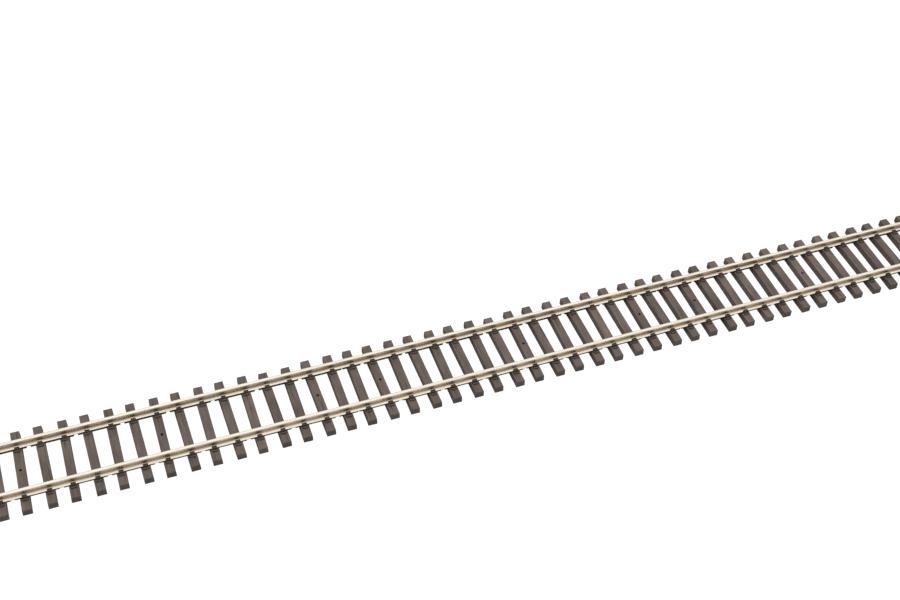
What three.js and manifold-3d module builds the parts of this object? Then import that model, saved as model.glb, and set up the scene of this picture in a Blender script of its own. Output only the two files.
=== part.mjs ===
import * as THREE from 'three';
import { mergeVertices } from 'three/addons/utils/BufferGeometryUtils.js';
import Module from 'manifold-3d';

const wasm = await Module();
wasm.setup();

// A straight length of flexible track for OO and HO models, in millimetres.
// Two rails of solid drawn nickel silver are threaded through the chairs of three moulded sleeper strips.
// X runs along the track, Y across it and Z up. The origin is on the bench under the track's centre.

// The strips
const stripCount = 3;
const sleepersPerStrip = 16;
const sleeperPitch = 6.75;
const joinPitch = 6.33;

// A sleeper
const sleeperLength = 28.7;
const sleeperWidth = 2.82;
const sleeperThickness = 2.3;
const sideDraft = 0.04;
const skewAngle = 0.67 * Math.PI / 180;
const shortEndCut = 0.73;
const pinHoleDiameter = 0.8;
const pinHoleSides = 12;
const pinHoleSleepers = [1, 7, 14];

// Sleepers whose end was trimmed, as strip, place in the strip and side of the track
const shortEnds = [
  { strip: 0, place: 12, side: 1 },
  { strip: 0, place: 13, side: 1 },
  { strip: 1, place: 7, side: 1 },
];

// The rail
const gauge = 16.5;
const railHeight = 2.54;
const headWidth = 1.1;
const headSide = 0.75;
const headUnderSlope = 0.14;
const headCorner = 0.14;
const webWidth = 0.7;
const footWidth = 2.26;
const footEdge = 0.3;
const footSlope = 0.22;
const railClearance = 0.04;

// The chairs that hold the rail foot: heights are above the sleeper
const seatHeight = 0.12;
const plateLength = 1.7;
const plateReach = 1.15;
const plateHeight = 0.4;
const lugLength = 1.45;
const lugReach = 0.57;
const lugOverlap = 0.35;
const lugHeightOutside = 0.95;
const lugHeightInside = 0.78;
const lugCorner = 0.2;

// The webs that join neighbouring sleepers under the rail foot
const armInside = 0.14;
const armOutside = -0.08;
const armDepth = 0.45;
const armGap = 0.08;
const cutGap = 1.1;
const joinGap = 0.3;

const stripLength = (sleepersPerStrip - 1) * sleeperPitch + joinPitch;
const trackLength = stripCount * stripLength;
const railOffset = gauge / 2 + headWidth / 2;
const footHalf = footWidth / 2;
const railSeat = sleeperThickness + seatHeight + railClearance;
const chairRoot = sleeperThickness / 2;
const lastBay = sleepersPerStrip - 2;
const weldDistance = 1e-5;

const nickelSilver = () => new THREE.MeshStandardMaterial({ color: '#d8d0bb', roughness: 0.3, metalness: 1 });
const brownPlastic = () => new THREE.MeshStandardMaterial({ color: '#5f554c', roughness: 0.6 });

function toSolid(geometry) {
  const bare = geometry.clone();
  bare.deleteAttribute('normal');
  bare.deleteAttribute('uv');
  const welded = mergeVertices(bare, weldDistance);
  return new wasm.Manifold(new wasm.Mesh({
    numProp: 3,
    vertProperties: new Float32Array(welded.attributes.position.array),
    triVerts: new Uint32Array(welded.index.array),
  }));
}

function toGeometry(solid) {
  const mesh = solid.getMesh();
  const geometry = new THREE.BufferGeometry();
  geometry.setAttribute('position', new THREE.BufferAttribute(new Float32Array(mesh.vertProperties), 3));
  geometry.setIndex(new THREE.BufferAttribute(new Uint32Array(mesh.triVerts), 1));
  return geometry;
}

// A section drawn in Y and Z, drawn out along X about the middle
function alongTrack(section, length) {
  const shape = new THREE.Shape(section.map(([y, z]) => new THREE.Vector2(y, z)));
  const geometry = new THREE.ExtrudeGeometry(shape, { depth: length, bevelEnabled: false });
  geometry.translate(0, 0, -length / 2);
  geometry.applyMatrix4(new THREE.Matrix4().set(0, 0, 1, 0, 1, 0, 0, 0, 0, 1, 0, 0, 0, 0, 0, 1));
  return geometry;
}

// A section drawn in X and Z, drawn out along Y from one place to another
function acrossTrack(section, from, to) {
  const shape = new THREE.Shape(section.map(([x, z]) => new THREE.Vector2(x, z)));
  const geometry = new THREE.ExtrudeGeometry(shape, { depth: to - from, bevelEnabled: false });
  geometry.rotateX(Math.PI / 2);
  geometry.translate(0, to, 0);
  return geometry;
}

// The rail's section, grown by a clearance for the slot that it slides in
function railSection(grow) {
  const foot = footHalf + grow;
  const web = webWidth / 2 + grow;
  const head = headWidth / 2 + grow;
  const top = railHeight + grow;
  const right = [
    [foot, -grow],
    [foot, footEdge + grow],
    [web, footEdge + footSlope + grow],
    [web, railHeight - headSide - headUnderSlope],
    [head, railHeight - headSide],
    [head, top - headCorner],
    [head - headCorner, top],
  ];
  const left = right.map(([y, z]) => [-y, z]).reverse();
  return [...right, ...left];
}

// A hook over one side of the rail's foot, rooted in the sleeper
function lug(height) {
  const inner = footHalf - lugOverlap;
  const outer = footHalf + lugReach;
  const high = sleeperThickness + height;
  const shoulder = [[outer, high - lugCorner], [outer - lugCorner, high]];
  return toSolid(alongTrack([[inner, chairRoot], [outer, chairRoot], ...shoulder, [inner, high]], lugLength));
}

// One rail's chair: a base plate with a lug on each side, the inner one lower to clear the wheels' flanges
function chair(side) {
  const plateHalf = footHalf + plateReach;
  const plateTop = sleeperThickness + plateHeight;
  const plate = new THREE.BoxGeometry(plateLength, 2 * plateHalf, plateTop - chairRoot);
  plate.translate(0, 0, (plateTop + chairRoot) / 2);
  const body = toSolid(plate).add(lug(lugHeightOutside)).add(lug(lugHeightInside).rotate([0, 0, 180]));
  return side > 0 ? body : body.rotate([0, 0, 180]);
}

// A sleeper's share of the webs on one side of the track, from one bay to the next
function arm(side, reachLeft, reachRight) {
  const width = footWidth + armInside + armOutside;
  const box = new THREE.BoxGeometry(reachLeft + reachRight, width, armDepth);
  const middle = side * (railOffset - (armInside - armOutside) / 2);
  box.translate((reachRight - reachLeft) / 2, middle, railSeat - armGap - armDepth / 2);
  return toSolid(box);
}

// Half of the gap in a web: none where it is whole, more where it is cut or where two strips meet
function halfGap(bay, side) {
  if (bay < 0 || bay > lastBay) return joinGap / 2;
  const whole = (bay % 2 === 0) === (side > 0);
  return whole ? 0 : cutGap / 2;
}

// A leaning sleeper with its two chairs, its shares of the webs and the slots that the rails slide in
function sleeper(place, turned, shortSides) {
  const end = (side) => sleeperLength / 2 - (shortSides.includes(side) ? shortEndCut : 0);
  const half = sleeperWidth / 2;
  const halfTop = half - sideDraft;
  const section = [[-half, 0], [half, 0], [halfTop, sleeperThickness], [-halfTop, sleeperThickness]];
  const lean = skewAngle * (place % 2 === 0 ? 1 : -1);
  let body = toSolid(acrossTrack(section, -end(-1), end(1))).rotate([0, 0, lean * 180 / Math.PI]);
  for (const side of [-1, 1]) {
    const y = side * railOffset;
    body = body.add(chair(side).translate([-y * Math.tan(lean), y, 0]));
    const bayReach = (bay) => (bay < 0 || bay > lastBay ? joinPitch : sleeperPitch) / 2;
    const reachLeft = bayReach(place - 1) - halfGap(place - 1, side);
    const reachRight = bayReach(place) - halfGap(place, side);
    body = body.add(arm(side, reachLeft, reachRight));
    const slot = alongTrack(railSection(railClearance), 2 * sleeperPitch);
    body = body.subtract(toSolid(slot).translate([0, y, railSeat]));
  }
  if (pinHoleSleepers.includes(place)) {
    const depth = 2 * sleeperThickness;
    const hole = new THREE.CylinderGeometry(pinHoleDiameter / 2, pinHoleDiameter / 2, depth, pinHoleSides);
    hole.rotateX(Math.PI / 2);
    hole.translate(0, 0, sleeperThickness / 2);
    body = body.subtract(toSolid(hole));
  }
  return turned ? body.rotate([0, 0, 180]) : body;
}

function part(name, geometry, material) {
  const mesh = new THREE.Mesh(geometry, material);
  mesh.name = name;
  return mesh;
}

const track = new THREE.Group();
track.name = 'model_track_section';

const stripNames = ['left', 'middle', 'right'];
for (let strip = 0; strip < stripCount; strip += 1) {
  // Every second strip is threaded on the other way round
  const turned = strip % 2 === 1;
  const centre = (strip - (stripCount - 1) / 2) * stripLength;
  for (let count = 0; count < sleepersPerStrip; count += 1) {
    const x = centre + (count - (sleepersPerStrip - 1) / 2) * sleeperPitch;
    const shortSides = shortEnds
      .filter((entry) => entry.strip === strip && entry.place === count)
      .map((entry) => (turned ? -entry.side : entry.side));
    const place = turned ? sleepersPerStrip - 1 - count : count;
    const solid = sleeper(place, turned, shortSides).translate([x, 0, 0]);
    const number = String(count + 1).padStart(2, '0');
    track.add(part(`sleeper_${stripNames[strip]}_${number}`, toGeometry(solid), brownPlastic()));
  }
}

for (const [name, side] of [['rail_front', -1], ['rail_back', 1]]) {
  const rail = alongTrack(railSection(0), trackLength);
  rail.translate(0, side * railOffset, railSeat);
  track.add(part(name, rail, nickelSilver()));
}

export default track;
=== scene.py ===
import math

import bpy
import numpy as np
from mathutils import Matrix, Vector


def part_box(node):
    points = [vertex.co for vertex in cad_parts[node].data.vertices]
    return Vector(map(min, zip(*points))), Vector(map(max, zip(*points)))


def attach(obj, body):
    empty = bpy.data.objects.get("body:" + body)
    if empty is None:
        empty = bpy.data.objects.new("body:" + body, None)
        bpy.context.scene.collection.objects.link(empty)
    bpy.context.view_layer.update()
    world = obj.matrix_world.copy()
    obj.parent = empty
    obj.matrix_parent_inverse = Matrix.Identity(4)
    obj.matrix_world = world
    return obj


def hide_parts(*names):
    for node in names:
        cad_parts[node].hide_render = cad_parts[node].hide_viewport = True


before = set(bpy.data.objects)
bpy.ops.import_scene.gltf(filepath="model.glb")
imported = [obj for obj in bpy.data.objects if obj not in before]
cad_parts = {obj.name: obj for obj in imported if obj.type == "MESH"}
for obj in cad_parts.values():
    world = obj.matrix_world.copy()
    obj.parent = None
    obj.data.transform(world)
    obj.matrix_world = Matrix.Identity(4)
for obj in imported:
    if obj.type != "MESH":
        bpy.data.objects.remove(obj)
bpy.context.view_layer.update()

print("frame loaded:", len(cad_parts), "nodes")

# A straight length of flexible model railway track, worked out in millimetres and built in metres.
metre = 0.001
noiseSpan = (0.3, 0.7)  # where nearly all the values of a noise texture lie


def toLinear(hexColour):
    # an sRGB hex colour to linear RGBA
    channels = np.array([int(hexColour[i:i + 2], 16) for i in (1, 3, 5)]) / 255
    low, high = channels / 12.92, ((channels + 0.055) / 1.055) ** 2.4
    return (*np.where(channels <= 0.04045, low, high).tolist(), 1.0)


def addNode(tree, kind, settings=None, inputs=None, links=None):
    # a node with its own settings, its input values, and links into its inputs
    node = tree.nodes.new(kind)
    for key, value in (settings or {}).items():
        setattr(node, key, value)
    for key, value in (inputs or {}).items():
        node.inputs[key].default_value = value
    for key, source in (links or {}).items():
        tree.links.new(source, node.inputs[key])
    return node


def newMaterial(name):
    material = bpy.data.materials.new(name)
    material.use_nodes = True
    tree = material.node_tree
    tree.nodes.clear()
    return material, tree


def mixColours(tree, amount, links, inputs=None):
    # a Mix node's two colours are its sockets 6 and 7, and its mixed colour is output 2
    links = {0: amount, **links}
    node = addNode(tree, "ShaderNodeMix", settings={"data_type": "RGBA"}, inputs=inputs, links=links)
    return node.outputs[2]


def addSurface(tree, inputs, links=None):
    shader = addNode(tree, "ShaderNodeBsdfPrincipled", inputs=inputs, links=links)
    addNode(tree, "ShaderNodeOutputMaterial", links={"Surface": shader.outputs["BSDF"]})


def pointValue(tree, name):
    # a value that the mesh stores on its points
    return addNode(tree, "ShaderNodeAttribute", settings={"attribute_name": name}).outputs["Fac"]


def stretch(tree, place, sizes):
    # the place counted in steps of the given sizes
    inputs = {"Scale": [1 / (size * metre) for size in sizes]}
    return addNode(tree, "ShaderNodeMapping", inputs=inputs, links={"Vector": place}).outputs["Vector"]


def addNoise(tree, place, scale, detail, roughness, distortion=0.0):
    inputs = {"Scale": scale, "Detail": detail, "Roughness": roughness, "Distortion": distortion}
    return addNode(tree, "ShaderNodeTexNoise", inputs=inputs, links={"Vector": place}).outputs["Fac"]


def spreadNoise(tree, noise, span):
    # the noise's usual range carried over to the given one
    inputs = {"From Min": noiseSpan[0], "From Max": noiseSpan[1], "To Min": span[0], "To Max": span[1]}
    return addNode(tree, "ShaderNodeMapRange", inputs=inputs, links={"Value": noise}).outputs["Result"]


def addShare(tree, source, share, base):
    # the base plus a share of the source
    node = addNode(tree, "ShaderNodeMath", settings={"operation": "MULTIPLY_ADD"}, inputs={1: share},
                   links={0: source, 2: base})
    return node.outputs["Value"]


def addBump(tree, height, strength, depth, earlier=None):
    links = {"Height": height} if earlier is None else {"Height": height, "Normal": earlier}
    inputs = {"Strength": strength, "Distance": depth * metre}
    return addNode(tree, "ShaderNodeBump", inputs=inputs, links=links).outputs["Normal"]


def addRamp(tree, source, stops):
    node = addNode(tree, "ShaderNodeValToRGB", links={"Fac": source})
    elements = node.color_ramp.elements
    while len(elements) < len(stops):
        elements.new(0.5)
    for element, (place, shade) in zip(elements, stops):
        element.position = place
        element.color = toLinear(shade)
    return node.outputs["Color"]


def arc(centreX, centreZ, radius, start, stop, steps):
    # points on a circle's arc, with angles in degrees from the first axis
    angle = np.radians(np.linspace(start, stop, steps + 1))
    return np.c_[centreX + radius * np.cos(angle), centreZ + radius * np.sin(angle)]


def roundedOutline(halfA, halfB, radius, steps):
    # four arcs about the corners of a rectangle, with straight sides between them
    corners = ((1, 1, 0), (-1, 1, 90), (-1, -1, 180), (1, -1, 270))
    return np.vstack([arc(a * halfA, b * halfB, radius, start, start + 90, steps) for a, b, start in corners])


def ringFaces(rings, count):
    # four-sided faces between each ring of points and the next
    i = np.arange(count)
    j = np.arange(rings - 1)[:, None]
    after = (i + 1) % count
    near, far = j * count, (j + 1) * count
    return np.stack([near + i, near + after, far + after, far + i], -1).reshape(-1, 4)


def fanFaces(count, first, pole, flip):
    # triangles from one ring to its pole
    i = np.arange(count)
    after = (i + 1) % count
    ends = (after, i) if flip else (i, after)
    return np.stack([first + ends[0], first + ends[1], np.full(count, pole)], -1)


def endFans(rings, count):
    # the first and the last ring closed to the two poles, which come after all the rings
    poles = rings * count
    return np.vstack([fanFaces(count, 0, poles, True), fanFaces(count, (rings - 1) * count, poles + 1, False)])


def repeatFaces(faces, copies, stride):
    # the same faces for each copy of a shape, each counted on by the points of one copy
    return (faces[None] + (np.arange(copies) * stride)[:, None, None]).reshape(-1, faces.shape[1])


def weld(points, quads, triangles, stepsPerMm=20000):
    # points in the same place, to a twenty thousandth of a millimetre, become one point
    key = np.round(points * stepsPerMm).astype(np.int64)
    first, which = np.unique(key, axis=0, return_index=True, return_inverse=True)[1:]
    which = which.reshape(-1)
    return points[first], which[quads], which[triangles], first


def makePiece(name, points, quads, triangles, material, body, nodes, values, sharpAngle):
    mesh = bpy.data.meshes.new(name)
    mesh.from_pydata((points * metre).tolist(), [], quads.tolist() + triangles.tolist())
    for key, numbers in values.items():
        layer = mesh.attributes.new(key, "FLOAT", "POINT")
        layer.data.foreach_set("value", np.ascontiguousarray(numbers, dtype=np.float32))
    mesh.polygons.foreach_set("use_smooth", np.ones(len(mesh.polygons), bool))
    mesh.set_sharp_from_angle(angle=math.radians(sharpAngle))
    mesh.update()
    mesh.materials.append(material)
    piece = bpy.data.objects.new(name, mesh)
    bpy.context.scene.collection.objects.link(piece)
    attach(piece, body)
    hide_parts(*nodes)


viewpoint = {
    "lens": 53.3,
    "filmWidth": 36,
    "clip": (0.01, 20),
    "place": (-123.28, -250.24, 315.40),
    # the camera's own axes
    "right": (0.9397386, -0.3401470, 0.0345168),
    "up": (0.224932, 0.6911272, 0.6868398),
    "back": (-0.257482, -0.637686, 0.7259888),
}


def setCamera():
    data = bpy.data.cameras.new("camera")
    data.sensor_width = viewpoint["filmWidth"]
    data.lens = viewpoint["lens"]
    data.clip_start, data.clip_end = viewpoint["clip"]
    camera = bpy.data.objects.new("camera", data)
    columns = np.eye(4)
    for column, way in enumerate(("right", "up", "back")):
        columns[:3, column] = viewpoint[way]
    columns[:3, 3] = np.array(viewpoint["place"]) * metre
    camera.matrix_world = Matrix(columns.tolist())
    bpy.context.scene.collection.objects.link(camera)
    bpy.context.scene.camera = camera


setCamera()
print("camera set")


sleeperFinish = {
    "shades": ((0.32, "#372e29"), (0.50, "#4a403a"), (0.68, "#5d524b")),
    # the dark colour that paints the shade under the rails and in the grooves
    "paintedShadeColour": "#1d1714",
    "grainSize": (0.3, 6.0, 0.3),
    "grainShare": 0.55,
    "blotchesPerMetre": 110.0,
    "blotchShare": 0.35,
    "specklesPerMetre": 8300.0,
    "roughness": (0.5, 0.68),
    "chairPolish": -0.14,
    "grainBump": (0.8, 0.03),  # strength and depth
    "speckleBump": (0.35, 0.006),
}


def makeSleeperPlastic():
    # Injection-moulded polystyrene with a wood grain cut into the mould: a dull brown top with long fine
    # streaks, and smoother chairs that pick up small highlights. The chairs, the webs under the rails and the
    # grain's grooves are darkened in colour: painted shade for the shadow under the rails and in the grooves.
    finish = sleeperFinish
    material, tree = newMaterial("moulded_brown_plastic")
    place = addNode(tree, "ShaderNodeTexCoord").outputs["Object"]
    grain = addNoise(tree, stretch(tree, place, finish["grainSize"]), 1.0, 4.0, 0.62, 0.25)
    # blotches about 9 mm across, from dust and handling
    blotch = addNoise(tree, place, finish["blotchesPerMetre"], 3.0, 0.6)
    # the mould's fine matt texture, drawn at 0.12 mm so that it shows close up
    speckle = addNoise(tree, place, finish["specklesPerMetre"], 2.0, 0.7)
    tone, chairSmoothAndShade, paintedGrooveShade = (pointValue(tree, name) for name in ("tone", "chair", "groove"))
    grained = addShare(tree, grain, finish["grainShare"], tone)
    blotched = addShare(tree, blotch, finish["blotchShare"], grained)
    colour = addRamp(tree, blotched, finish["shades"])
    # the chairs, the webs and the grooves are mixed towards that dark colour: painted shade under the rails and
    # in the grooves
    for amount in (chairSmoothAndShade, paintedGrooveShade):
        colour = mixColours(tree, amount, {6: colour}, {7: toLinear(finish["paintedShadeColour"])})
    rough = addShare(tree, chairSmoothAndShade, finish["chairPolish"], spreadNoise(tree, grain, finish["roughness"]))
    bump = addBump(tree, speckle, *finish["speckleBump"], addBump(tree, grain, *finish["grainBump"]))
    addSurface(tree, {"IOR": 1.5, "Metallic": 0.0, "Specular IOR Level": 0.35},
               {"Base Color": colour, "Roughness": rough, "Normal": bump})
    return material


railFinish = {
    "drawn": ((0.30, "#cbb9a0"), (0.70, "#a18d74")),
    "rubbedAndSheen": ((0.30, "#e5dfd0"), (0.70, "#dbd3c0")),
    "patchSize": (26.0, 1.4, 1.4),
    "lineSize": (45.0, 0.10, 0.10),
    "lineBump": (0.5, 0.004),
    "scuffsPerMetre": 3300.0,
    "scuffShare": 0.08,
    "roughness": (0.24, 0.42),
    "uprightDull": 0.10,
}


def makeNickelSilver():
    # Hard-drawn nickel silver. The whole head is a pale, slightly warm white: rubbed on the running surface,
    # and a painted sheen on the head's sides and on a band along the top of the foot. The web and the rest of
    # the foot keep the duller, browner skin of the drawing die, with long fine lines and blurred reflections of
    # what stands beside them.
    finish = railFinish
    material, tree = newMaterial("drawn_nickel_silver")
    place = addNode(tree, "ShaderNodeTexCoord").outputs["Object"]
    lines = addNoise(tree, stretch(tree, place, finish["lineSize"]), 1.0, 3.0, 0.6)
    # patches of tarnish, a few centimetres long and about a millimetre high
    patches = addNoise(tree, stretch(tree, place, finish["patchSize"]), 1.0, 4.0, 0.65, 0.4)
    # short scuffs on the running surface, about 0.3 mm apart
    scuffs = addNoise(tree, place, finish["scuffsPerMetre"], 2.0, 0.8)
    # the pale colour is rubbed metal on the running surface, and a painted sheen on the head's sides and the
    # top of the foot
    drawn, rubbedAndSheen = (addRamp(tree, patches, finish[skin]) for skin in ("drawn", "rubbedAndSheen"))
    colour = mixColours(tree, pointValue(tree, "rubbedAndHighlit"), {6: drawn, 7: rubbedAndSheen})
    scored = addShare(tree, scuffs, finish["scuffShare"], spreadNoise(tree, lines, finish["roughness"]))
    rough = addShare(tree, pointValue(tree, "upright"), finish["uprightDull"], scored)
    bump = addBump(tree, lines, *finish["lineBump"])
    addSurface(tree, {"Metallic": 1.0}, {"Base Color": colour, "Roughness": rough, "Normal": bump})
    return material


sleeperPlastic = makeSleeperPlastic()
nickelSilver = makeNickelSilver()
print("materials made")


sleeper = {
    "perStrip": 16,
    "length": 28.7,
    "width": 2.82,
    "thickness": 2.3,
    "draft": 0.04,
    "topRound": 0.06,
    "bottomRound": 0.07,
    "endRound": 0.05,
    "roundTurn": 68,  # degrees
    "partingStep": 0.035,
    "lean": 0.67,
    "grainDepth": 0.05,
    "grainKnots": 11,
    "splits": 3,
    "splitDepth": 0.10,
    "splitWidth": 0.09,
    "splitLength": (1.5, 4.0),
    "splitReach": (1.0, 13),  # how far from the middle across and along
    "splitDrift": 0.03,
    "edgeWander": 0.035,
    "trimmed": 0.73,
    "trimmedFar": {"left": (12, 13), "middle": (7,), "right": ()},
    "holes": {"left": (1, 7, 14), "middle": (1, 8, 14), "right": (1, 7, 14)},
    "holeRadius": 0.40,
    "columns": 16,
    "columnStep": 0.155,
    "core": 6,  # rows of the grid before and behind a pin hole's middle
    "toneSpread": (-0.03, 0.05),
    "grooveShade": 7,  # painted shade: how dark a groove is painted for each millimetre of its depth
    "darkestGroove": 0.8,
    "sharpAngle": 40,
    "seed": 41,
}


def sleeperSection():
    # The outline across a sleeper: along the top, down the right side, back along the underside and up.
    half, top, turn = sleeper["width"] / 2, sleeper["thickness"], sleeper["roundTurn"]
    draft, r, b, step = sleeper["draft"], sleeper["topRound"], sleeper["bottomRound"], sleeper["partingStep"]
    columns = sleeper["columns"]
    reach = columns * sleeper["columnStep"] / 2
    topRow = np.c_[np.linspace(-reach, reach, columns + 1), np.full(columns + 1, top)]
    corner = arc(half - draft - step - r, top - r, r, turn, 0, 2)
    # the mould parts a little above half height, and its upper half is set in by the step
    side = np.array([
        [half - draft * 0.6 - step, top * 0.62],
        [half - draft * 0.5, top * 0.55],
        [half - draft * 0.2, top * 0.25],
    ])
    foot = arc(half - b, b, b, 0, -turn, 2)
    right = np.vstack([corner, side, foot])
    bottomRow = np.c_[np.linspace(reach, -reach, columns + 1), np.zeros(columns + 1)]
    left = (right * [-1, 1])[::-1]
    return np.vstack([topRow, right, bottomRow, left]), len(right)


def grainCut(y, acrossX, rng):
    # Streaks are random heights at a few knots along the sleeper for each column, joined by straight slopes.
    # A split is deeper: its depth falls off as a bell curve across it, and more squarely towards its ends.
    count, knots = len(y), sleeper["grainKnots"]
    heights = rng.random((count, knots, len(acrossX)))
    heights = 0.6 * heights + 0.2 * np.roll(heights, 1, 2) + 0.2 * np.roll(heights, -1, 2)
    where = (y / sleeper["length"] + 0.5).clip(0, 1) * (knots - 1)
    low = np.minimum(where.astype(int), knots - 2)
    part = (where - low)[:, :, None]
    row = np.arange(count)[:, None]
    streak = heights[row, low] * (1 - part) + heights[row, low + 1] * part
    cut = sleeper["grainDepth"] * streak
    reachX, reachY = sleeper["splitReach"]
    for _ in range(sleeper["splits"]):
        splitX = rng.uniform(-reachX, reachX, count)[:, None, None]
        splitY = rng.uniform(-reachY, reachY, count)[:, None, None]
        splitLength = rng.uniform(*sleeper["splitLength"], count)[:, None, None]
        drift = rng.uniform(-sleeper["splitDrift"], sleeper["splitDrift"], count)[:, None, None]
        offset = (acrossX - splitX - drift * (y[:, :, None] - splitY)) / sleeper["splitWidth"]
        along = (y[:, :, None] - splitY) / splitLength
        cut = cut + sleeper["splitDepth"] * np.exp(-offset ** 2 - along ** 4)
    return cut


def pinHole():
    # The square grid round a pin hole drawn into circles. A point's ring is the larger of its two distances
    # from the middle in steps of the grid. Rings 5 and 4 round the hole's rim, and those inside lie at half
    # depth.
    core, columns, r = sleeper["core"], sleeper["columns"], sleeper["holeRadius"]
    across = np.arange(-columns // 2, columns // 2 + 1)[None, :]
    along = np.arange(-core, core + 1)[:, None]
    ring = np.maximum(np.abs(across), np.abs(along))
    angle = np.arctan2(along * 1.0, across * 1.0)
    rim = [ring == 5, ring == 4]
    radius = np.select(rim, [r * 1.22, r * 1.04], r * 0.97)
    depth = np.select(rim, [0.01, 0.05], sleeper["thickness"] / 2)
    return ring, radius * np.cos(angle), radius * np.sin(angle), depth


def sleeperShells(centres, leans, nearEnds, farEnds, holed, rng):
    # Each sleeper is its outline carried along its length. The rings near each end shrink to round the edge,
    # then close to a point in the end face. Round a pin hole the grid is drawn into circles on the top and the
    # underside, and the two meet at half the thickness.
    count, columns, step, core = len(centres), sleeper["columns"], sleeper["columnStep"], sleeper["core"]
    section, rightPoints = sleeperSection()
    n = len(section)
    # stations: an even core round the hole, then shares of the way to each end, then the end's rounding
    inner = np.arange(-core, core + 1) * step
    spread = np.r_[0.035, 0.08, np.linspace(0.13, 0.97, 17)]
    e = sleeper["endRound"]
    rounding = np.array([  # place from the end, and how far the outline shrinks there
        [-e, 0.0],
        [-e * 0.62, e * 0.08],
        [-e * 0.29, e * 0.29],
        [-e * 0.08, e * 0.62],
        [0.0, e],
        [0.0, 0.55],
    ])
    ends = np.stack([nearEnds, farEnds], -1)
    reach = (ends[:, :, None] - e - core * step) * spread + core * step
    tail = ends[:, :, None] + rounding[:, 0]
    nearY, farY = (-tail[:, 0, ::-1], -reach[:, 0, ::-1]), (reach[:, 1], tail[:, 1])
    y = np.concatenate([*nearY, np.tile(inner, (count, 1)), *farY], 1)
    inset = np.r_[rounding[::-1, 1], np.zeros(len(spread) * 2 + len(inner)), rounding[:, 1]]
    m = y.shape[1]
    halfSize = np.array([sleeper["width"], sleeper["thickness"]]) / 2
    middle = np.array([0.0, halfSize[1]])
    shrink = 1 - inset[:, None] / halfSize
    xz = middle + (section[None] - middle) * shrink[:, None, :]
    x = np.broadcast_to(xz[None, :, :, 0], (count, m, n)).copy()
    z = np.broadcast_to(xz[None, :, :, 1], (count, m, n)).copy()
    fullY = np.broadcast_to(y[:, :, None], (count, m, n)).copy()
    # the top is cut by the grain, less so on the rounded ends, and the cuts run out over its edges
    fade = np.where(inset > 0, 0.25, 1.0)[None, :, None]
    groove = np.zeros((count, m, n))
    groove[:, :, :columns + 1] = grainCut(y, section[:columns + 1, 0], rng) * fade
    for k, share in enumerate((1.0, 0.75, 0.4)):
        groove[:, :, columns + 1 + k] = groove[:, :, columns] * share
        groove[:, :, n - 1 - k] = groove[:, :, 0] * share
    z -= groove
    # the edges of the top wander a little, as the grain does in the mould
    wander = sleeper["edgeWander"] * rng.random((count, m, 2)) * (inset == 0)[None, :, None]
    rightSide, leftSide = slice(columns + 1, columns + rightPoints - 2), slice(n - rightPoints + 3, n)
    x[:, :, rightSide] -= wander[:, :, :1]
    x[:, :, leftSide] += wander[:, :, 1:]
    # pin holes
    first = len(rounding) + len(spread)
    stations = slice(first, first + 2 * core + 1)
    topSide, underside = slice(0, columns + 1), slice(columns + 1 + rightPoints, 2 * columns + 2 + rightPoints)
    ring, holeX, holeY, depth = pinHole()
    for flip, surface, side in ((1, sleeper["thickness"], topSide), (-1, 0.0, underside)):
        inHole = (ring < core)[None, :, ::flip] & holed[:, None, None]
        for grid, hole in ((x, holeX), (fullY, holeY), (z, surface - flip * depth)):
            grid[:, stations, side] = np.where(inHole, hole[None, :, ::flip], grid[:, stations, side])
    points = np.stack([x, fullY, z], -1).reshape(count, m * n, 3)
    poleY = np.stack([-nearEnds, farEnds], -1)
    poles = np.stack([np.zeros((count, 2)), poleY, np.full((count, 2), halfSize[1])], -1)
    points = np.concatenate([points, poles], 1)
    turn = np.radians(leans)[:, None]
    turned = np.stack([
        centres[:, None] + points[:, :, 0] * np.cos(turn) - points[:, :, 1] * np.sin(turn),
        points[:, :, 0] * np.sin(turn) + points[:, :, 1] * np.cos(turn),
        points[:, :, 2],
    ], -1)
    # the faces whose four corners lie within a hole are left out
    quads = ringFaces(m, n)
    inside = np.zeros((m, n), bool)
    inside[stations, topSide] = ring <= 3
    inside[stations, underside] = ring[:, ::-1] <= 3
    removed = inside.reshape(-1)[quads].all(1)
    stride = m * n + 2
    allQuads = quads[None] + (np.arange(count) * stride)[:, None, None]
    keep = ~(removed[None] & holed[:, None])
    # painted shade in the grain's grooves, the deeper the darker
    shade = (groove.reshape(count, -1) * sleeper["grooveShade"]).clip(0, sleeper["darkestGroove"])
    shade = np.concatenate([shade, np.zeros((count, 2))], 1).reshape(-1)
    return turned.reshape(-1, 3), allQuads[keep], repeatFaces(endFans(m, n), count, stride), stride, shade


chair = {
    "railOffset": 8.8,
    "footHalf": 1.13,
    "footThick": (0.39, 0.30),  # under a lug's lip and at the edge
    "seatHeight": 0.12,
    "seatOverlap": 0.2,
    "seatRoll": 0.03,
    "plateLength": 1.7,
    "plateReach": 1.15,
    "plateHeight": 0.4,
    "plateRoll": 0.05,
    "padCorner": 0.12,
    "padSink": 0.12,
    "lugLength": 1.45,
    "lugReach": 0.57,
    "lugOverlap": 0.35,
    "lugHeight": {"outside": 0.95, "inside": 0.78},
    "lugShoulder": 0.16,
    "boltRadius": 0.22,
    "boltHeight": 0.1,
    "boltInset": 0.30,
    "boltSunk": 0.02,
    "sink": 0.1,
    "clearance": 0.05,
    # how far the body, outside lugs, inside lugs, plates, bolts, seats and webs take the smoother finish and
    # the painted shade of the rails' shadow
    "smoothAndShadeShares": (0.0, 0.85, 0.85, 0.5, 0.7, 0.9, 1.0),
}


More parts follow.
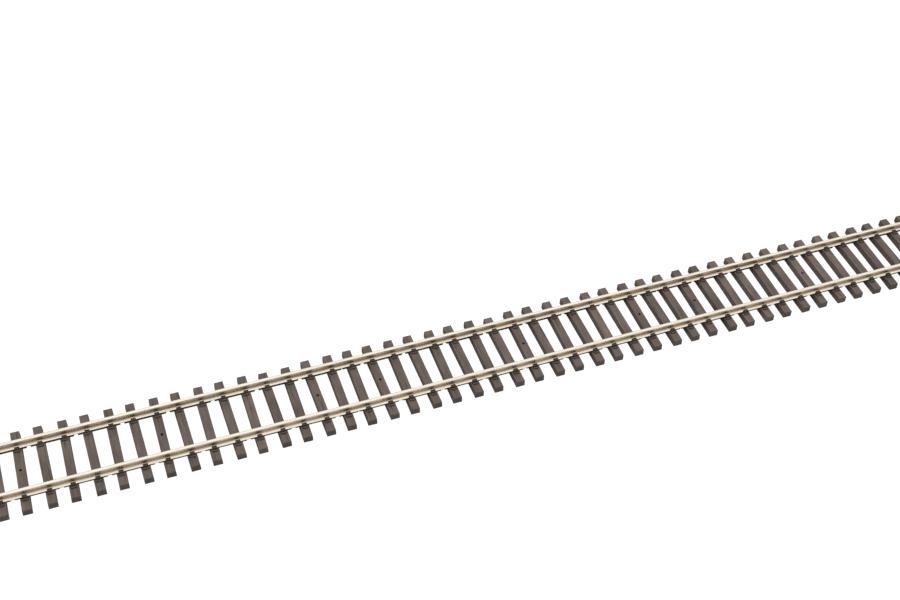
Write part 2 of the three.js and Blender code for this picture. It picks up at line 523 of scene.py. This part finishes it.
def lugShell(top):
    # A hook's outline beside the rail, carried along the rail and drawn in at both ends to round them.
    c = chair
    inner, outer = c["footHalf"] - c["lugOverlap"], c["footHalf"] + c["lugReach"]
    face, shoulder = c["footHalf"] + c["clearance"], c["lugShoulder"]
    overInner, overOuter = (c["seatHeight"] + 2 * c["clearance"] + thick for thick in c["footThick"])
    outline = np.vstack([
        [[face, -c["sink"]], [outer, -c["sink"]], [outer, 0.3]],
        arc(outer - shoulder, top - shoulder, shoulder, 0, 80, 3),
        [[inner + 0.08, top], [inner + 0.02, top - 0.02], [inner, top - 0.06], [inner, overInner]],
        [[face, overOuter]],
    ])
    centre = np.array([(face + outer) / 2, top / 2])
    half = c["lugLength"] / 2
    shift = np.array([0.0, 0.03, 0.10])
    scale = np.array([0.88, 0.96, 1.0])
    x = np.r_[shift - half, (half - shift)[::-1]]
    rings = centre + (outline - centre) * np.r_[scale, scale[::-1]][:, None, None]
    n = len(outline)
    across = np.broadcast_to(x[:, None, None], (len(x), n, 1))
    points = np.vstack([np.concatenate([across, rings], 2).reshape(-1, 3), [[-half, *centre], [half, *centre]]])
    return points, ringFaces(len(x), n), endFans(len(x), n)


def risingShell(outlines, z):
    # outlines one above another, with a pole in the middle of the lowest and the highest
    count, n = outlines.shape[:2]
    points = np.concatenate([outlines, np.broadcast_to(z[:, None, None], (count, n, 1))], 2).reshape(-1, 3)
    points = np.vstack([points, [[0, 0, z[0]], [0, 0, z[-1]]]])
    return points, ringFaces(count, n), endFans(count, n)


def padShell(lengthX, lengthY, height, roll):
    # A rectangle with rounded corners raised from below the surface, with its top edge rolled in.
    corner, sink = chair["padCorner"], chair["padSink"]
    outline = roundedOutline(lengthX / 2 - corner, lengthY / 2 - corner, corner, 3)
    size = np.array([lengthX, lengthY]) / 2
    z = np.array([-sink, height - roll, height - 0.3 * roll, height])
    inset = np.array([0.0, 0.0, 0.3, 1.0]) * roll
    return risingShell(outline * (1 - inset[:, None, None] / size), z)


def boltShell():
    # A low ten-sided dome on a short round wall.
    height = chair["boltHeight"]
    angle = np.radians(np.arange(0, 360, 36))
    z = np.array([-chair["sink"], 0.55 * height, 0.85 * height, height])
    scale = np.array([1.0, 1.0, 0.8, 0.45])
    ring = chair["boltRadius"] * np.c_[np.cos(angle), np.sin(angle)]
    return risingShell(ring * scale[:, None, None], z)


def placeCopies(shape, places, flips):
    # copies of one shape at many places. A flip of -1 turns a copy half round about the upright axis
    points, quads, triangles = shape
    turned = points[None] * np.stack([flips, flips, np.ones_like(flips)], -1)[:, None, :]
    copies = (turned + places[:, None, :]).reshape(-1, 3)
    stride = len(points)
    return copies, repeatFaces(quads, len(places), stride), repeatFaces(triangles, len(places), stride)


def chairShells(centres, leans):
    # two lugs, two plates and two bolt heads for each rail on each sleeper, and a seat under each rail
    c, top, count = chair, sleeper["thickness"], len(centres)
    heights = c["lugHeight"]
    railSide = np.tile([1, 1, -1, -1], count)
    lugSide = np.tile([1, -1, 1, -1], count)
    which = np.repeat(np.arange(count), 4)
    railY = railSide * c["railOffset"]
    chairX = centres[which] - railY * np.tan(np.radians(leans[which]))
    outside = railSide == lugSide
    flips = lugSide.astype(float)
    level = np.full(len(chairX), top)
    railPlaces = np.stack([chairX, railY, level], -1)
    lugs = [placeCopies(lugShell(heights[where]), railPlaces[chosen], flips[chosen])
            for where, chosen in (("outside", outside), ("inside", ~outside))]
    plateWidth = c["plateReach"] - c["clearance"]
    plateY = railY + lugSide * (c["footHalf"] + c["clearance"] + plateWidth / 2)
    plate = padShell(c["plateLength"], plateWidth, c["plateHeight"], c["plateRoll"])
    plates = placeCopies(plate, np.stack([chairX, plateY, level], -1), flips)
    boltY = railY + lugSide * (c["footHalf"] + c["lugReach"] - c["boltInset"])
    boltZ = top + np.where(outside, heights["outside"], heights["inside"]) - c["boltSunk"]
    bolts = placeCopies(boltShell(), np.stack([chairX, boltY, boltZ], -1), flips)
    seatWidth = 2 * (c["footHalf"] + c["clearance"]) + c["seatOverlap"]
    seat = padShell(c["plateLength"], seatWidth, c["seatHeight"], c["seatRoll"])
    seats = placeCopies(seat, railPlaces[::2], np.ones(2 * count))
    return [*lugs, plates, bolts, seats]


stripNames = ("left", "middle", "right")

web = {
    "inside": 0.14,
    "outside": -0.08,
    "depth": 0.45,
    "footGap": 0.08,
    "cutGap": 1.1,
    "joinGap": 0.3,
    "round": 0.12,
    "sink": 0.35,
}


def webRuns(centres, turnedRound):
    # where each bar starts, stops and lies: whole in every second bay, cut in the others, stubs at both ends
    halfWidth, sink, halfCut = sleeper["width"] / 2, web["sink"], web["cutGap"] / 2
    low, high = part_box("rail_back")
    stripHalf = (high.x - low.x) / metre / (2 * len(stripNames)) - web["joinGap"] / 2
    stripMiddle = (centres[0] + centres[-1]) / 2
    lefts, rights = centres + halfWidth - sink, centres - halfWidth + sink
    runs = []
    for side in (1, -1):
        y = side * (chair["railOffset"] - (web["inside"] - web["outside"]) / 2)
        runs.append((stripMiddle - stripHalf, rights[0], y))
        for bay, (left, right) in enumerate(zip(lefts[:-1], rights[1:])):
            if ((bay % 2 == 0) == (side > 0)) != turnedRound:
                runs.append((left, right, y))
            else:
                middle = (left + right) / 2
                runs.extend([(left, middle - halfCut, y), (middle + halfCut, right, y)])
        runs.append((lefts[-1], stripMiddle + stripHalf, y))
    return np.array(runs).T


def webShells(starts, ends, middles):
    # Bars of one rounded outline, each from its start to its end, with the last rings drawn in.
    width = 2 * chair["footHalf"] + web["inside"] + web["outside"]
    r, d = web["round"], web["depth"]
    outline = roundedOutline(width / 2 - r, d / 2 - r, r, 2)
    n = len(outline)
    shift = np.array([0.0, 0.03, 0.1])
    scale = np.array([0.86, 0.96, 1.0])
    x = np.concatenate([starts[:, None] + shift, ends[:, None] - shift[::-1]], 1)
    s = np.r_[scale, scale[::-1]]
    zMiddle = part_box("rail_back")[0].z / metre - web["footGap"] - d / 2
    count, m = x.shape
    points = np.empty((count, m, n, 3))
    points[..., 0] = x[:, :, None]
    points[..., 1] = middles[:, None, None] + outline[:, 0] * s[:, None]
    points[..., 2] = zMiddle + outline[:, 1] * s[:, None]
    poles = np.stack([np.stack([end, middles, np.full(count, zMiddle)], -1) for end in (starts, ends)], 1)
    allPoints = np.concatenate([points.reshape(count, m * n, 3), poles], 1).reshape(-1, 3)
    stride = m * n + 2
    return allPoints, repeatFaces(ringFaces(m, n), count, stride), repeatFaces(endFans(m, n), count, stride)


def makeStrip(name, index):
    count = sleeper["perStrip"]
    nodes = [f"sleeper_{name}_{i + 1:02d}" for i in range(count)]
    # the inner sleepers' boxes give the pitch: the webs reach equally far on both sides of those
    boxes = [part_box(node) for node in nodes[1:-1]]
    inner = np.array([(low.x + high.x) / 2 for low, high in boxes]) / metre
    pitch = (inner[-1] - inner[0]) / (len(inner) - 1)
    centres = inner[0] + pitch * (np.arange(count) - 1)
    rng = np.random.default_rng(sleeper["seed"] + index)
    turnedRound = name == "middle"
    places = np.arange(count)
    leans = np.where(places % 2 == 0, 1, -1) * (-1 if turnedRound else 1) * sleeper["lean"]
    near = np.full(count, sleeper["length"] / 2)
    far = near.copy()
    far[list(sleeper["trimmedFar"][name])] -= sleeper["trimmed"]
    holed = np.isin(places, sleeper["holes"][name])
    *body, stride, groove = sleeperShells(centres, leans, near, far, holed, rng)
    tone = np.repeat(rng.uniform(*sleeper["toneSpread"], count), stride)

    parts = [body, *chairShells(centres, leans), webShells(*webRuns(centres, turnedRound))]
    offsets = np.cumsum([0] + [len(part[0]) for part in parts])
    points = np.vstack([part[0] for part in parts])
    quads = np.vstack([part[1] + offset for part, offset in zip(parts, offsets)])
    triangles = np.vstack([part[2] + offset for part, offset in zip(parts, offsets)])
    # each part's share sets how smooth it is and how much painted shade from the rails it takes, the webs under
    # the rails most
    shares = zip(parts, chair["smoothAndShadeShares"])
    smoothAndShade = np.concatenate([np.full(len(part[0]), share) for part, share in shares])
    plain = np.zeros(len(points) - len(tone))
    values = {"tone": np.r_[tone, plain], "chair": smoothAndShade, "groove": np.r_[groove, plain]}
    points, quads, triangles, first = weld(points, quads, triangles)
    values = {key: numbers[first] for key, numbers in values.items()}
    makePiece(f"sleeper_strip_{name}", points, quads, triangles, sleeperPlastic, f"strip_{name}", nodes,
              values, sleeper["sharpAngle"])
    print("strip", name, len(points), "points", len(quads) * 2 + len(triangles), "triangles")


for stripIndex, stripName in enumerate(stripNames):
    makeStrip(stripName, stripIndex)


rail = {
    "height": 2.54,
    "headWidth": 1.1,
    "headSide": 0.75,
    "headSlope": 0.14,
    "headRound": 0.34,
    "webWidth": 0.7,
    "footWidth": 2.26,
    "footEdge": 0.3,
    "footSlope": 0.22,
    "edgeRound": 0.06,
    "fillet": 0.12,
    "stations": 170,
    "wander": 0.012,
    "waves": ((37.0, 0.4), (19.0, 0.25), (61.0, 0.25), (11.0, 0.1)),  # length and share of each
    "sharpAngle": 32,
    "seeds": {"rail_front": 90, "rail_back": 92},
}


def railSection():
    # The right half of the rail's outline from the middle of the foot up to the middle of the head.
    # Short arcs round the head, the foot's edges and the two inner corners.
    k = rail
    foot, head, webHalf, h = k["footWidth"] / 2, k["headWidth"] / 2, k["webWidth"] / 2, k["height"]
    under, shelf = h - k["headSide"], k["footEdge"] + k["footSlope"]
    edge, fillet, crownRound = k["edgeRound"], k["fillet"], k["headRound"]
    return np.vstack([
        [[0.0, 0.0], [foot * 0.5, 0.0], [foot - 2 * edge, 0.0]],
        arc(foot - edge, edge, edge, -90, 0, 3),
        arc(foot - edge, k["footEdge"] - edge, edge, 0, 80, 2),
        [[(foot + webHalf) / 2, (k["footEdge"] + shelf) / 2]],
        arc(webHalf + fillet, shelf + fillet, fillet, 260, 180, 3),
        [[webHalf, (shelf + under) / 2], [webHalf, under - k["headSlope"] - 0.1]],
        [[webHalf + 0.03, under - k["headSlope"]], [head - 0.06, under - 0.01]],
        [[head - 0.01, under + 0.02], [head, under + 0.07], [head, h - crownRound - 0.04]],
        arc(head - crownRound, h - crownRound, crownRound, 0, 90, 4),
        [[head * 0.25, h], [0.0, h]],
    ])


def makeRail(name):
    # The outline carried along the rail, which strays a hundredth of a millimetre from straight by the sum of a
    # few sine waves. Each sawn end is closed by strips of faces between the two halves of the outline.
    low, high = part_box(name)
    half = railSection()
    mirrored = (half * [-1, 1])[::-1][1:-1]
    outline = np.vstack([half, mirrored])
    n, m = len(outline), rail["stations"]
    x = np.linspace(low.x / metre, high.x / metre, m)
    rng = np.random.default_rng(rail["seeds"][name])
    phases = rng.uniform(0, 2 * math.pi, len(rail["waves"]))
    stray = sum(np.sin(2 * math.pi * x / length + phase) * share
                for (length, share), phase in zip(rail["waves"], phases))
    centreY = (low.y + high.y) / 2 / metre + rail["wander"] * stray
    points = np.stack([
        np.broadcast_to(x[:, None], (m, n)),
        centreY[:, None] + outline[None, :, 0],
        np.broadcast_to(low.z / metre + outline[None, :, 1], (m, n)),
    ], -1).reshape(-1, 3)
    k = np.arange(1, len(half) - 2)
    mirror = (n - k) % n
    mirrorNext = (n - k - 1) % n
    last = (m - 1) * n
    startCap = np.stack([k, mirror, mirrorNext, k + 1], -1)
    endCap = np.stack([k + 1, mirrorNext, mirror, k], -1) + last
    quads = np.vstack([ringFaces(m, n), startCap, endCap])
    tips = np.array([[0, n - 1, 1], [len(half) - 1, len(half) - 2, len(half)]])
    tips = np.vstack([tips, tips[:, ::-1] + last])
    # the paler colour: the head's top, rubbed bright by handling, a painted sheen on the head's sides, and a
    # painted highlight on the top of the foot
    height = outline[:, 1]
    shelf = rail["footEdge"] + rail["footSlope"]
    rubbedAndHighlit = ((height - (rail["height"] - rail["headSide"])) / 0.1).clip(0, 1)
    footTop = (height > rail["footEdge"] - 0.03) & (height < rail["footEdge"] + 0.6 * rail["footSlope"])
    rubbedAndHighlit = np.where(footTop, 1.0, rubbedAndHighlit)
    # what stands upright is scored by the die and duller: the sides of the head and the whole web
    upright = (height > shelf) & (height < rail["height"] - rail["headRound"] / 2)
    values = {"rubbedAndHighlit": np.tile(rubbedAndHighlit, m), "upright": np.tile(upright * 1.0, m)}
    makePiece(f"{name}_drawn", points, quads, tips, nickelSilver, name, [name], values,
              rail["sharpAngle"])


for railName in rail["seeds"]:
    makeRail(railName)
print("rails made")


studio = {  # in metres and watts
    "paperGlow": 1.0,
    "paperHeight": -0.00002,
    "paperColour": "#3f3f3f",
    "cardHeight": -0.00004,
    "cardColour": "#a2a2a2",
    "floorReach": 12.0,
    "floorRoughness": 0.9,
    "skySide": 0.34,
    "skyTop": 1.36,
    "skyTopFrom": 0.75,
    "lampEnergy": 10.2,
    "lampPlace": (0.10, 0.18, 0.78),
    "lampSize": 0.6,
}
white = toLinear("#ffffff")


def makeFloor(name, height, material):
    mesh = bpy.data.meshes.new(name)
    size = studio["floorReach"]
    corners = [(-size, -size, height), (size, -size, height), (size, size, height), (-size, size, height)]
    mesh.from_pydata(corners, [], [(0, 1, 2, 3)])
    mesh.materials.append(material)
    floor = bpy.data.objects.new(name, mesh)
    bpy.context.scene.collection.objects.link(floor)
    return floor


def makeFloors():
    # The track lies on white paper lit from beneath, so no shadow shows on it. What the rails mirror and what
    # lights the sleepers' sides is a grey card in the same place, which the camera does not see.
    matt = {"Roughness": studio["floorRoughness"], "Specular IOR Level": 0.0}
    paper, tree = newMaterial("white_paper")
    addSurface(tree, {**matt, "Base Color": toLinear(studio["paperColour"]), "Emission Color": white,
                      "Emission Strength": studio["paperGlow"]})
    floor = makeFloor("floor", studio["paperHeight"], paper)
    floor.visible_diffuse = floor.visible_glossy = floor.visible_shadow = False
    card, tree = newMaterial("grey_card")
    addSurface(tree, {**matt, "Base Color": toLinear(studio["cardColour"])})
    bounce = makeFloor("bounce_card", studio["cardHeight"], card)
    bounce.visible_camera = False


def makeSky():
    # an even white dome that grows brighter from its rim to its top
    world = bpy.data.worlds.new("studio")
    bpy.context.scene.world = world
    world.use_nodes = True
    sky = world.node_tree
    sky.nodes.clear()
    place = addNode(sky, "ShaderNodeTexCoord")
    split = addNode(sky, "ShaderNodeSeparateXYZ", links={"Vector": place.outputs["Generated"]})
    strength = addNode(sky, "ShaderNodeMapRange", links={"Value": split.outputs["Z"]},
                       inputs={"From Min": 0.0, "From Max": studio["skyTopFrom"],
                               "To Min": studio["skySide"], "To Max": studio["skyTop"]})
    background = addNode(sky, "ShaderNodeBackground", inputs={"Color": white},
                         links={"Strength": strength.outputs["Result"]})
    addNode(sky, "ShaderNodeOutputWorld", links={"Surface": background.outputs["Background"]})


def makeLamp():
    # a square softbox behind the track, turned to shine at its middle
    lamp = bpy.data.lights.new("softbox", "AREA")
    lamp.shape = "SQUARE"
    lamp.size = studio["lampSize"]
    lamp.energy = studio["lampEnergy"]
    holder = bpy.data.objects.new("softbox", lamp)
    holder.visible_glossy = False
    holder.location = studio["lampPlace"]
    x, y, z = studio["lampPlace"]
    holder.rotation_euler = (-math.atan2(y, z), math.atan2(x, z), 0)
    bpy.context.scene.collection.objects.link(holder)


makeFloors()
makeSky()
makeLamp()
bpy.context.scene.view_settings.view_transform = "Standard"
print("studio made")
